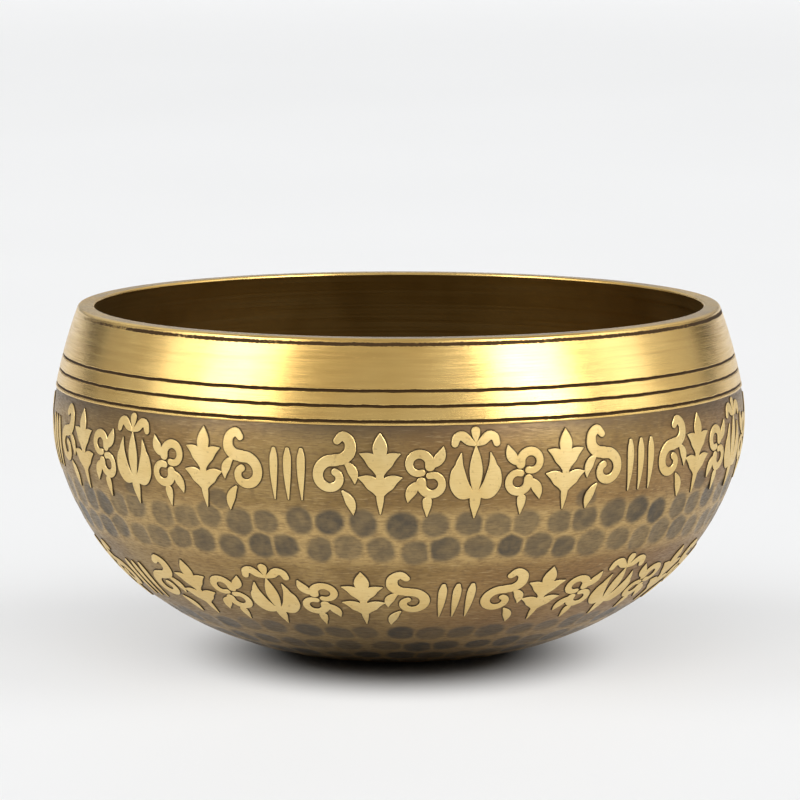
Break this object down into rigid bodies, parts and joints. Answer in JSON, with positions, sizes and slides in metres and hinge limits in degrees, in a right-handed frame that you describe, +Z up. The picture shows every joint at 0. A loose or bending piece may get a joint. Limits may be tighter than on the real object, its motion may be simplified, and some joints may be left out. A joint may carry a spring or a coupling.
{
  "type": "singing bowl",
  "caption": "Round brass singing bowl with a polished grooved rim, a hammered wall and bands of raised leaf and scroll ornament.",
  "frame": {"origin": "centre of the flat foot, on the surface that the bowl stands on", "axes": "+Z up along the bowl's axis towards its open mouth; -Y faces the viewer; the ornament's unit repeats around Z"},
  "size_m": [0.1198, 0.1198, 0.0604],
  "materials": {
    "patinated_brass": "cast brass, satin-turned on the rim and browned by patina on the hammered ground and inside",
    "polished_brass": "satin polished brass"
  },
  "bodies": {
    "root": {"bowl": "patinated_brass", "upper_ornament_band": "polished_brass", "lower_ornament_band": "polished_brass"}
  },
  "joints": []
}
